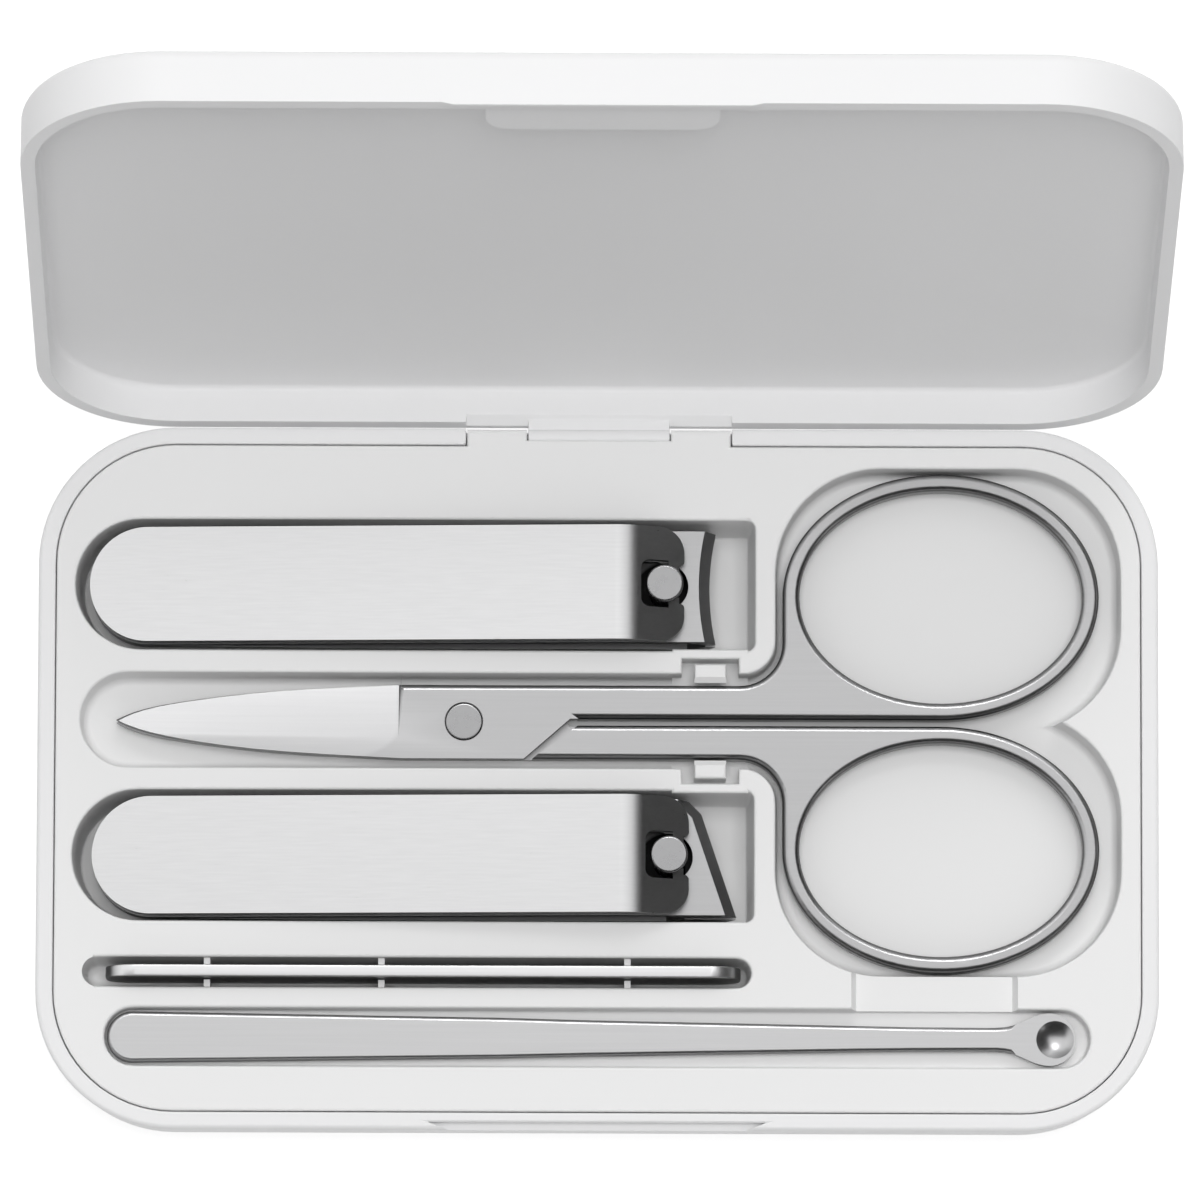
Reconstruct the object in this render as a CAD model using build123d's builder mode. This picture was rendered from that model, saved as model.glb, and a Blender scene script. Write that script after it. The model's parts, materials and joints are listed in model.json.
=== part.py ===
"""Pocket manicure case: a hinged flat case whose tray holds five steel grooming tools.

Millimetres, +X to the right along the case, +Y towards the hinge, +Z up.  The origin is
the centre of the base's underside.  The case is modelled open, with every tool seated.
"""
from build123d import *
from math import atan2, cos, degrees, radians, sin, tan
import os

os.makedirs("parts", exist_ok=True)

# ---------------------------------------------------------------- case
case_width = 116.0
case_depth = 73.0
corner_radius = 14.2
base_height = 12.0
floor_thickness = 1.8
rim_wall = 1.75
shell_draft = 3.0
foot_radius = 1.6
edge_round = 0.5

# ---------------------------------------------------------------- layout
# the tools and their pockets follow the case; both are 1 for a case 116 by 73
along = case_width / 116
across = case_depth / 73

# ---------------------------------------------------------------- lid
lid_height = 6.1
lid_wall = 1.5
lid_top = 2.1
lid_ceiling_radius = 0.6
lid_open_angle = 108.0
parting_gap = 0.2
lid_edge_radius = 1.3
boss_length = 23.2
boss_depth = 5.1
boss_height = 3.6
boss_corner = 2.4
thumb_length = 34.8
thumb_recess = 0.8
thumb_height = 1.4
thumb_taper = 2.0
lip_thickness = 0.55
lip_drop = 0.25
lip_length = 31.9
lip_taper = 1.2

# ---------------------------------------------------------------- hinge
hinge_inset = 0.9
hinge_depth = 1.4
hinge_zone = 27.6
hinge_pin_radius = 0.4
knuckle_length = 6.2
knuckle_gap = 0.15
knuckle_back = 0.8
knuckle_top_radius = 0.7
knuckle_low_radius = 0.4
knuckle_foot = 1.2
hinge_arm_inner = 0.2
hinge_relief = 0.9
hinge_foot_gap = 0.2
notch_corner = 0.3
pin_bore_clearance = 0.06

# ---------------------------------------------------------------- magnets
magnet_length = 20.0
magnet_width = 2.4
magnet_thickness = 1.6
magnet_play = 0.1

# ---------------------------------------------------------------- tray
tray_gap = 0.12
tray_thickness = 1.2
cup_wall = 1.0
land_rib_low = 6.0
land_rib_high = 16.0
pocket_draft = 4.0
seat_clearance = 0.2

# ---------------------------------------------------------------- pockets
clipper_pocket_width = 13.65
under_cup_gap = 0.2
clipper_pocket_corner = 0.9
pick_pocket_width = 6.1
pick_pocket_depth = 2.2
file_slot_width = 3.1
file_slot_depth = 6.6
scissors_channel_width = 9.9
scissors_pocket_depth = 4.0
pocket_floor_radius = 0.8
small_floor_radius = 0.25
lobe_radius = 11.0
lobe_left = 18.3 * along
lobe_right = 54.1 * along
lobe_reach = 26.45 * across
lobe_cross = 1.1
land_radius = 3.4
channel_left = -53.6 * along
scoop_left = 26.2 * along
scoop_right = 43.4 * along
scoop_depth = 1.5
scoop_side_slope = 20.0

# ---------------------------------------------------------------- clippers
clipper_a_rear = -52.7 * along
clipper_a_edge = 12.2 * along
clipper_a_pin = 6.84 * along
clipper_a_arm_width = 11.6
clipper_a_lever_width = 11.9
clipper_b_rear = -52.3 * along
clipper_b_edge = 14.4 * along
clipper_b_pin = 7.35 * along
clipper_b_arm_width = 12.1
clipper_b_lever_width = 12.2
sheet = 1.2
lever_sheet = 1.0
pin_head_radius = 1.93
pin_head_height = 0.9
pin_neck_radius = 1.45
pin_neck_flat = 1.15
pin_shank_radius = 1.4
pin_foot_radius = 2.6
pin_foot_height = 0.5
arm_pin_hole_radius = 2.45
lever_window = 2.45
lever_front_reach = 2.05
lever_pivot_reach = 0.65
hook_gap = 1.35
arm_rear_rise = 3.4
arm_clearance = 0.06
upper_arm_rise = 7.9
jaw_gap = 1.6
jaw_lip = 2.6
jaw_bevel = 1.15
jaw_root = 2.3
lever_front_rise = 12.2
lever_rear_rise = 8.3
lever_bend_back = 3.9
rear_rivet_radius = 1.5
rear_rivet_head = 2.1
rear_rivet_head_height = 0.45
rear_rivet_inset = 4.6
flex_clearance = 0.14
concave_sagitta = 0.65
slant_run = 3.65
slant_corner = 1.3
lever_corner = 2.7
lever_slope = 0.5
lip_edge_thickness = 0.4
arm_rear_flat = 2.3
lower_arm_ramp = 24.0
upper_arm_ramp_end = 6.0
front_margin = 1.0
jaw_front_reach = 6.0
pin_head_lift = 0.7
pin_head_round = 0.25
hook_start = 0.4
hook_end = 1.5
fork_gap = 2.0
fork_corner = 0.45
window_corner = 0.9
arm_hole_back = 2.9
arm_hole_half = 2.6

# ---------------------------------------------------------------- scissors
scissors_y = 5.95 * across
scissors_thickness = 2.8
scissors_edge_radius = 0.6
pivot_x = -13.9 * along
tip_x = -49.9 * along
blade_gap = 0.03
shank_gap = 0.33
shank_half = 3.85
ring_x = 35.5 * along
ring_hole_length = 29.3 * along
ring_hole_width = 22.2 * across
ring_band = 1.75
web_fillet = 4.5
pivot_rivet_radius = 1.3
pivot_head_radius = 1.95
pivot_head_height = 0.5
pivot_fit = 0.06
diagonal_gap = 0.85
diagonal_start = 6.2
diagonal_end = 11.0
blade_root_x = -20.4 * along
blade_mid_x = -34.6 * along
blade_mid_half = 3.05
blade_fore_x = -42.5 * along
blade_fore_half = 2.1
blade_tip_slope = 0.55
blade_root_slope = 0.05
lower_edge_inset = 0.1
ground_low = -1.6
ground_depth = 0.4

# ---------------------------------------------------------------- file and ear pick
file_left = -50.8 * along
file_right = 14.8 * along
file_y = -20.25 * across
file_thickness = 1.25
file_height = 8.0
file_end_radius = 3.2
file_slot_left = -53.2 * along
file_slot_right = 15.9 * along
file_rib_width = 0.65
file_rib_positions = (-40.3 * along, -22.3 * along, 3.1 * along)
file_play = 0.12
pick_left = -50.6 * along
pick_right = 49.4 * along
pick_y = -26.95 * across
pick_head_width = 5.3
pick_neck_width = 2.5
pick_thickness = 1.3
pick_neck_x = 39.0 * along
pick_waist_x = -10.0 * along
pick_waist_share = 0.8
pick_mid_x = 17.0 * along
pick_mid_width = 3.1
pick_flare_x = 42.9 * along
pick_flare_width = 2.95
pick_taper = 0.03
cup_turn = 0.2
pick_cup_length = 4.3
pick_cup_width = 5.3
pick_bowl_radius = 2.9
pick_bowl_depth = 0.75
pick_pocket_left = -50.9 * along
pick_pocket_right = 50.9 * along

# ---------------------------------------------------------------- snap tabs over the shanks
tab_x = 11.6 * along
tab_length = 3.3
tab_depth = 1.9
tab_thickness = 1.1
tab_notch_length = 5.9
tab_notch_depth = 1.55
tab_clearance = 0.2

# ---------------------------------------------------------------- derived places
hinge_y = case_depth / 2 - hinge_inset
hinge_z = base_height - hinge_depth
hinge_origin = (0, hinge_y, hinge_z)
open_radians = radians(lid_open_angle)
lid_frame = Plane(
    origin=hinge_origin,
    x_dir=(1, 0, 0),
    z_dir=(0, sin(open_radians), cos(open_radians)),
)
lid_rim_h = parting_gap + hinge_depth
lid_top_h = lid_rim_h + lid_height
lid_ceiling_h = lid_top_h - lid_top
tray_top = base_height
knuckle_radius = hinge_inset
notch_floor_z = hinge_z - knuckle_foot - hinge_foot_gap
magnet_y = (pick_y - pick_pocket_width / 2 - cup_wall + rim_wall - case_depth / 2) / 2
clipper_pocket_depth = base_height - floor_thickness - under_cup_gap - cup_wall
scissors_mid_z = tray_top - scissors_pocket_depth + seat_clearance + scissors_thickness / 2
draft_run = tan(radians(pocket_draft))


def write(part, name):
    """Label a finished piece and write it to its own STEP file."""
    part.label = name
    export_step(part, f"parts/{name}.step")


def case_outline(inset, y_shift=0.0):
    """The case's rounded rectangle, moved inwards by inset."""
    with Locations((0, y_shift)):
        RectangleRounded(case_width - 2 * inset, case_depth - 2 * inset, corner_radius - inset)


def rounded_slot(left, right, y_mid, width):
    """A stadium from left to right with semicircular ends."""
    with Locations(((left + right) / 2, y_mid)):
        SlotOverall(right - left, width)


def section_plane(y_mid):
    """A vertical plane along the case at y_mid: its x is +X and its y is +Z."""
    return Plane(origin=(0, y_mid, 0), x_dir=(1, 0, 0), z_dir=(0, -1, 0))


def cross_plane(x):
    """A vertical plane across the case at x: its x is +Y and its y is +Z."""
    return Plane(origin=(x, 0, 0), x_dir=(0, 1, 0), z_dir=(1, 0, 0))


def upright_cylinder(x, y, low, high, radius, mode=Mode.ADD):
    """A vertical cylinder between two heights."""
    with Locations((x, y, low)):
        Cylinder(radius, high - low, align=(Align.CENTER, Align.CENTER, Align.MIN), mode=mode)


# ================================================================ base shell
rim_flare = edge_round * tan(radians(shell_draft))
shelf_top = base_height - tray_thickness - magnet_thickness - magnet_play

with BuildPart() as base_shell:
    with BuildSketch(Plane.XY.offset(base_height)):
        case_outline(-rim_flare)
    extrude(amount=-base_height, taper=shell_draft)
    fillet(base_shell.faces().sort_by(Axis.Z)[0].edges(), foot_radius)
    fillet(base_shell.faces().sort_by(Axis.Z)[-1].edges(), edge_round)
    with BuildSketch(Plane.XY.offset(base_height)):
        case_outline(rim_wall)
    extrude(amount=floor_thickness - base_height, taper=shell_draft, mode=Mode.SUBTRACT)
    # the rim is open at the back where the tray's hinge tongue passes
    with BuildSketch(Plane.XY.offset(base_height)):
        with Locations((0, case_depth / 2)):
            Rectangle(hinge_zone, 2 * rim_wall + 2 * edge_round)
    extrude(amount=notch_floor_z - base_height, mode=Mode.SUBTRACT)
    rim_corners = base_shell.edges().filter_by(
        lambda e: abs(abs(e.center().X) - hinge_zone / 2) < parting_gap
        and abs(e.center().Y - case_depth / 2 + rim_wall) < notch_corner
        and e.length > tray_thickness)
    fillet(rim_corners, notch_corner)
    # thumb recess in the outer top edge of the front rim
    with BuildSketch(Plane.XY.offset(base_height)):
        with Locations((0, -case_depth / 2)):
            Trapezoid(thumb_length, 2 * thumb_recess, degrees(atan2(thumb_recess, thumb_taper)),
                      rotation=180)
            Rectangle(thumb_length, thumb_recess, align=(Align.CENTER, Align.MAX))
    extrude(amount=-thumb_height, mode=Mode.SUBTRACT)
    # shelf that carries the front magnet
    with BuildSketch(Plane.XY.offset(floor_thickness)):
        with Locations((0, magnet_y)):
            Rectangle(magnet_length, magnet_width)
    extrude(amount=shelf_top - floor_thickness)
write(base_shell.part, "base_shell")

with BuildPart() as base_magnet:
    with BuildSketch(Plane.XY.offset(shelf_top)):
        with Locations((0, magnet_y)):
            Rectangle(magnet_length, magnet_width)
    extrude(amount=magnet_thickness)
write(base_magnet.part, "base_magnet")

# ================================================================ tool pockets
clipper_a_y = 20.07 * across
clipper_b_y = -8.13 * across
clipper_a_pocket = (-54.2 * along, 16.25 * along)
clipper_b_pocket = (-54.35 * along, 16.15 * along)


def clipper_pocket_outline(left, right, y_mid, grow):
    """A pocket with a semicircular rear end and small front corners, grown by grow."""
    half = clipper_pocket_width / 2 + grow
    front = clipper_pocket_corner + grow
    with BuildLine() as outline:
        back_edge = Line((left - grow + half, y_mid + half), (right + grow - front, y_mid + half))
        corner_high = RadiusArc(back_edge @ 1, (right + grow, y_mid + half - front), front)
        side = Line(corner_high @ 1, (right + grow, y_mid - half + front))
        corner_low = RadiusArc(side @ 1, (right + grow - front, y_mid - half), front)
        front_edge = Line(corner_low @ 1, (left - grow + half, y_mid - half))
        ThreePointArc(front_edge @ 1, (left - grow, y_mid), back_edge @ 0)
    make_face(outline.edges())


def lobe_outline(side, grow):
    """One finger-ring lobe of the scissors pocket, grown by grow."""
    low = -lobe_cross - grow
    high = lobe_reach + grow
    with Locations(((lobe_left + lobe_right) / 2, scissors_y + side * (low + high) / 2)):
        RectangleRounded(lobe_right - lobe_left + 2 * grow, high - low, lobe_radius + grow)


def channel_outline(grow):
    """The blade and shank channel of the scissors pocket, grown by grow."""
    rounded_slot(channel_left - grow, ring_x, scissors_y, scissors_channel_width + 2 * grow)


def web_outline(side, grow):
    """The corner where a ring lobe meets the channel, with the land's rounded corner cut in."""
    channel_edge = scissors_y + side * (scissors_channel_width / 2 + grow)
    land_y = scissors_y + side * (scissors_channel_width / 2 + land_radius)
    land_x = lobe_left - land_radius
    lobe_mid_y = scissors_y + side * lobe_reach / 2
    reach = (land_radius - grow) * cos(radians(45))
    with BuildLine() as outline:
        along = Line((land_x - land_radius, channel_edge), (land_x, channel_edge))
        corner = ThreePointArc(along @ 1, (land_x + reach, land_y - side * reach),
                               (lobe_left - grow, land_y))
        Polyline(corner @ 1, (lobe_left - grow, lobe_mid_y), (lobe_left + land_radius, lobe_mid_y),
                 (lobe_left + land_radius, scissors_y), (land_x - land_radius, scissors_y), along @ 0)
    make_face(outline.edges())


# each pocket: its depth, the radius round its floor, and its outline
pocket_outlines = [
    (clipper_pocket_depth, small_floor_radius,
     lambda grow: clipper_pocket_outline(*clipper_a_pocket, clipper_a_y, grow)),
    (clipper_pocket_depth, small_floor_radius,
     lambda grow: clipper_pocket_outline(*clipper_b_pocket, clipper_b_y, grow)),
    (scissors_pocket_depth, pocket_floor_radius, lambda grow: lobe_outline(1, grow)),
    (scissors_pocket_depth, pocket_floor_radius, lambda grow: lobe_outline(-1, grow)),
    (scissors_pocket_depth, pocket_floor_radius, channel_outline),
    (scissors_pocket_depth, pocket_floor_radius, lambda grow: web_outline(1, grow)),
    (scissors_pocket_depth, pocket_floor_radius, lambda grow: web_outline(-1, grow)),
    (file_slot_depth, pocket_floor_radius, lambda grow: rounded_slot(
        file_slot_left - grow, file_slot_right + grow, file_y, file_slot_width + 2 * grow)),
    (pick_pocket_depth, small_floor_radius, lambda grow: rounded_slot(
        pick_pocket_left - grow, pick_pocket_right + grow, pick_y, pick_pocket_width + 2 * grow)),
]


def pocket_tool(depth, floor_radius, outline):
    """The solid that hollows one pocket: drafted walls and a rounded floor edge."""
    with BuildPart() as tool:
        with BuildSketch(Plane.XY.offset(tray_top)):
            outline(0)
        extrude(amount=-depth, taper=pocket_draft)
        fillet(tool.faces().sort_by(Axis.Z)[0].edges(), floor_radius)
    return tool.part


# ================================================================ tray insert
scoop_run = scoop_depth * tan(radians(scoop_side_slope))
ring_floor_z = tray_top - scissors_pocket_depth
lobe_front_y = scissors_y - lobe_reach
pick_back_y = pick_y + pick_pocket_width / 2
rib_reach = (file_slot_width - file_thickness) / 2 - file_play

with BuildPart() as tray_insert:
    with BuildSketch(Plane.XY.offset(tray_top)):
        case_outline(rim_wall + tray_gap)
    extrude(amount=-tray_thickness)
    # tongue that fills the gap in the rim and carries the outer knuckles
    with BuildSketch(Plane.XY.offset(tray_top)):
        with Locations((0, hinge_y)):
            Rectangle(hinge_zone - 2 * tray_gap, 2 * rim_wall, align=(Align.CENTER, Align.MAX))
    extrude(amount=-tray_thickness)
    for depth, floor_radius, outline in pocket_outlines:
        with BuildSketch(Plane.XY.offset(tray_top - tray_thickness / 2)):
            outline(cup_wall - draft_run * tray_thickness / 2)
        extrude(amount=-(depth + cup_wall - tray_thickness / 2), taper=pocket_draft)
    # ribs that join each clipper's cup to the ring lobe beside it
    rib_middle = (land_rib_low + land_rib_high) / 2
    for side, clipper_right in ((1, clipper_a_pocket[1]), (-1, clipper_b_pocket[1])):
        with Locations(((clipper_right + lobe_left) / 2, scissors_y + side * rib_middle, tray_top)):
            Box(
                lobe_left - clipper_right + cup_wall,
                land_rib_high - land_rib_low,
                scissors_pocket_depth + cup_wall,
                align=(Align.CENTER, Align.CENTER, Align.MAX),
            )
    # floor under the finger scoop
    with Locations(((scoop_left + scoop_right) / 2, (lobe_front_y + pick_back_y) / 2, tray_top)):
        Box(
            scoop_right - scoop_left + 2 * cup_wall,
            lobe_front_y - pick_back_y + cup_wall,
            scoop_depth + cup_wall,
            align=(Align.CENTER, Align.CENTER, Align.MAX),
        )
    for depth, floor_radius, outline in pocket_outlines:
        add(pocket_tool(depth, floor_radius, outline), mode=Mode.SUBTRACT)
    # block that carries each snap tab, standing in a notch at the channel's edge
    for side in (1, -1):
        channel_edge = scissors_y + side * scissors_channel_width / 2
        notch_far = channel_edge + side * tab_notch_depth
        tab_tip = scissors_y + side * (shank_half + tab_clearance)
        notch_mid = (channel_edge + notch_far) / 2
        with Locations((tab_x, notch_mid, tray_top)):
            Box(
                tab_notch_length + 2 * cup_wall,
                tab_notch_depth + 2 * cup_wall,
                scissors_pocket_depth + cup_wall,
                align=(Align.CENTER, Align.CENTER, Align.MAX),
            )
            Box(
                tab_notch_length,
                tab_notch_depth,
                scissors_pocket_depth,
                align=(Align.CENTER, Align.CENTER, Align.MAX),
                mode=Mode.SUBTRACT,
            )
        with Locations((tab_x, (channel_edge + scissors_y) / 2, tray_top)):
            Box(
                tab_notch_length + 2 * cup_wall,
                scissors_channel_width / 2,
                scissors_pocket_depth,
                align=(Align.CENTER, Align.CENTER, Align.MAX),
                mode=Mode.SUBTRACT,
            )
        with BuildSketch(cross_plane(tab_x - tab_length / 2)):
            Polygon(
                (tab_tip, tray_top - tab_thickness),
                (tab_tip, tray_top - tab_thickness / 2),
                (tab_tip + side * tab_thickness / 2, tray_top),
                (tab_tip + side * tab_depth, tray_top),
                (tab_tip + side * tab_depth, ring_floor_z),
                (tab_tip + side * (tab_depth - tab_thickness), ring_floor_z),
                (tab_tip + side * (tab_depth - tab_thickness), tray_top - 2 * tab_thickness),
                align=None,
            )
        extrude(amount=tab_length)
    # ribs that keep the file upright in its slot
    with Locations(*[(x, file_y + side * file_slot_width / 2, tray_top - file_slot_depth)
                     for x in file_rib_positions for side in (1, -1)]):
        Box(file_rib_width, 2 * rib_reach, file_slot_depth - file_rib_width,
            align=(Align.CENTER, Align.CENTER, Align.MIN))
    # finger scoop between the ring pocket and the ear pick's pocket
    with BuildSketch(section_plane(pick_y)):
        Polygon(
            (scoop_left, tray_top),
            (scoop_left + scoop_run, tray_top - scoop_depth),
            (scoop_right - scoop_run, tray_top - scoop_depth),
            (scoop_right, tray_top),
            align=None,
        )
    extrude(amount=pick_y - scissors_y + lobe_reach - lobe_radius / 2, mode=Mode.SUBTRACT)
    # outer hinge knuckles, flush with the rim and rounded where the lid swings over them
    middle_half = hinge_zone / 2 - tray_gap - knuckle_length
    for start in (middle_half, -middle_half - knuckle_length):
        with BuildSketch(cross_plane(start)) as knuckle:
            with Locations((hinge_y - knuckle_foot, hinge_z - knuckle_foot)):
                Rectangle(knuckle_foot + knuckle_back, knuckle_foot + hinge_depth,
                          align=(Align.MIN, Align.MIN))
            back_top, back_low = knuckle.vertices().sort_by(Axis.X)[-2:].sort_by(Axis.Y)[::-1]
            fillet(back_top, knuckle_top_radius)
            fillet(knuckle.vertices().sort_by_distance(back_low)[0], knuckle_low_radius)
        extrude(amount=knuckle_length)
    # room for the lid's arm: below a thin lip, and behind it; then the bore for the pin
    lip_y = hinge_y - hinge_arm_inner - knuckle_gap
    with BuildSketch(cross_plane(-middle_half)):
        with Locations((hinge_y, hinge_z)):
            Circle(knuckle_radius + knuckle_gap)
            Rectangle(2 * (knuckle_radius + knuckle_gap), base_height,
                      align=(Align.CENTER, Align.MAX))
        with Locations((lip_y, hinge_z)):
            Rectangle(2 * rim_wall, base_height, align=(Align.MIN, Align.CENTER))
    extrude(amount=2 * middle_half, mode=Mode.SUBTRACT)
    with BuildSketch(cross_plane(-hinge_zone / 2)):
        with Locations((hinge_y, hinge_z)):
            Circle(hinge_pin_radius)
    extrude(amount=hinge_zone, mode=Mode.SUBTRACT)
write(tray_insert.part, "tray_insert")

with BuildPart() as hinge_pin:
    with BuildSketch(cross_plane(tray_gap - hinge_zone / 2)):
        with Locations((hinge_y, hinge_z)):
            Circle(hinge_pin_radius)
    extrude(amount=hinge_zone - 2 * tray_gap)
write(hinge_pin.part, "hinge_pin")

# ================================================================ lid
boss_y = -case_depth / 2 + lid_wall + boss_depth / 2
# across the hinge: x is the lid's own depth from the axis, y its height above the axis
hinge_cross = Plane(origin=(-hinge_zone / 2, hinge_y, hinge_z), x_dir=lid_frame.y_dir, z_dir=(1, 0, 0))
# the lid's front face: x is along the case and y is down towards the rim
front_face = Plane(
    origin=lid_frame.from_local_coords((0, -case_depth / 2 - hinge_y, 0)),
    x_dir=(1, 0, 0),
    z_dir=lid_frame.y_dir,
)

with BuildPart() as lid_hollow:
    with BuildSketch(lid_frame.offset(lid_rim_h)):
        case_outline(lid_wall, -hinge_y)
    extrude(amount=lid_height - lid_top)
    ceiling = lid_hollow.faces().sort_by(Axis(hinge_origin, lid_frame.z_dir))[-1]
    fillet(ceiling.edges(), lid_ceiling_radius)

with BuildPart() as lid_shell:
    with BuildSketch(lid_frame.offset(lid_rim_h)):
        case_outline(0, -hinge_y)
    extrude(amount=lid_height)
    top_face = lid_shell.faces().filter_by(lambda f: abs(f.normal_at().dot(lid_frame.z_dir) - 1) < 1e-6)
    fillet(top_face.sort_by(Axis.Y)[-1].edges(), lid_edge_radius)
    add(lid_hollow.part, mode=Mode.SUBTRACT)
    # inner edge of the rim eased where the hinge is
    inner_wall_y = hinge_inset - lid_wall
    with BuildSketch(hinge_cross):
        Polygon(
            (inner_wall_y, lid_rim_h), (inner_wall_y, lid_rim_h + hinge_relief),
            (inner_wall_y + hinge_relief, lid_rim_h),
            align=None,
        )
    extrude(amount=hinge_zone, mode=Mode.SUBTRACT)
    # thumb lip that hangs below the front rim, tapered at both ends
    with BuildSketch(front_face):
        Polygon(
            (-lip_length / 2, -lid_rim_h - lid_top), (-lip_length / 2, -lid_rim_h),
            (lip_taper - lip_length / 2, lip_drop - lid_rim_h),
            (lip_length / 2 - lip_taper, lip_drop - lid_rim_h),
            (lip_length / 2, -lid_rim_h), (lip_length / 2, -lid_rim_h - lid_top),
            align=None,
        )
    extrude(amount=lip_thickness)
    # boss behind the front wall that holds the lid's magnet
    with BuildSketch(lid_frame.offset(lid_ceiling_h - boss_height)):
        with Locations((0, boss_y - hinge_y)):
            RectangleRounded(boss_length, boss_depth, boss_corner)
            Rectangle(boss_length, boss_depth / 2, align=(Align.CENTER, Align.MAX))
    extrude(amount=boss_height)
    with BuildSketch(lid_frame.offset(lid_ceiling_h - boss_height / 2 - magnet_thickness / 2)):
        with Locations((0, boss_y - hinge_y)):
            Rectangle(magnet_length, magnet_width)
    extrude(amount=magnet_thickness, mode=Mode.SUBTRACT)
    # arm that reaches down to the pin between the outer knuckles
    arm_root = lid_rim_h + hinge_relief + inner_wall_y + hinge_arm_inner
    with BuildSketch(hinge_cross.offset(hinge_zone / 2 - middle_half + knuckle_gap)):
        Circle(knuckle_radius)
        with Locations((-hinge_arm_inner, 0)):
            Rectangle(hinge_arm_inner + knuckle_radius, arm_root, align=(Align.MIN, Align.MIN))
    extrude(amount=2 * (middle_half - knuckle_gap))
    with BuildSketch(hinge_cross):
        Circle(hinge_pin_radius + pin_bore_clearance)
    extrude(amount=hinge_zone, mode=Mode.SUBTRACT)
write(lid_shell.part, "lid_shell")

with BuildPart() as lid_magnet:
    with BuildSketch(lid_frame.offset(lid_ceiling_h - boss_height / 2 - magnet_thickness / 2)):
        with Locations((0, boss_y - hinge_y)):
            Rectangle(magnet_length, magnet_width)
    extrude(amount=magnet_thickness)
write(lid_magnet.part, "lid_magnet")

# ================================================================ nail clippers
pocket_floor_z = tray_top - clipper_pocket_depth
foot_z = pocket_floor_z + seat_clearance
arm_rear_z = foot_z + arm_rear_rise
upper_arm_front_top = foot_z + upper_arm_rise
lever_top_front = foot_z + lever_front_rise
lever_top_rear = foot_z + lever_rear_rise
lower_arm_bottom = foot_z + pin_foot_height
upper_edge_z = upper_arm_front_top - jaw_lip
lower_edge_z = upper_edge_z - jaw_gap
lower_lip = lower_edge_z - lower_arm_bottom


def concave_jaw(x_edge, half):
    """Points of a curved cutting edge, seen from above: high end, middle, low end."""
    return [(x_edge, half), (x_edge - concave_sagitta, 0), (x_edge, -half)]


def slanted_jaw(x_edge, half):
    """Points of a slanted cutting edge with its back corner cut off."""
    shoulder = x_edge - slant_run
    return [(shoulder - slant_corner, half), (shoulder, half - slant_corner), (x_edge, -half)]


def jaw_front(points, y_mid, curved):
    """The region in front of a cutting edge."""
    far = points[0][0] + 2 * jaw_front_reach
    path = [(x, y + y_mid) for x, y in points]
    with BuildLine() as outline:
        if curved:
            ThreePointArc(*path)
        else:
            Polyline(*path)
        Polyline(path[2], (path[2][0], path[2][1] - front_margin), (far, path[2][1] - front_margin),
                 (far, path[0][1] + front_margin), (path[0][0], path[0][1] + front_margin), path[0])
    make_face(outline.edges())


def arm_plan(x_rear, x_front, y_mid, width):
    """An arm from above: round at the rear, square at the front."""
    with BuildLine() as outline:
        high = Line((x_rear + width / 2, y_mid + width / 2), (x_front, y_mid + width / 2))
        front = Line(high @ 1, (x_front, y_mid - width / 2))
        low = Line(front @ 1, (x_rear + width / 2, y_mid - width / 2))
        ThreePointArc(low @ 1, (x_rear, y_mid), high @ 0)
    make_face(outline.edges())


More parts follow.
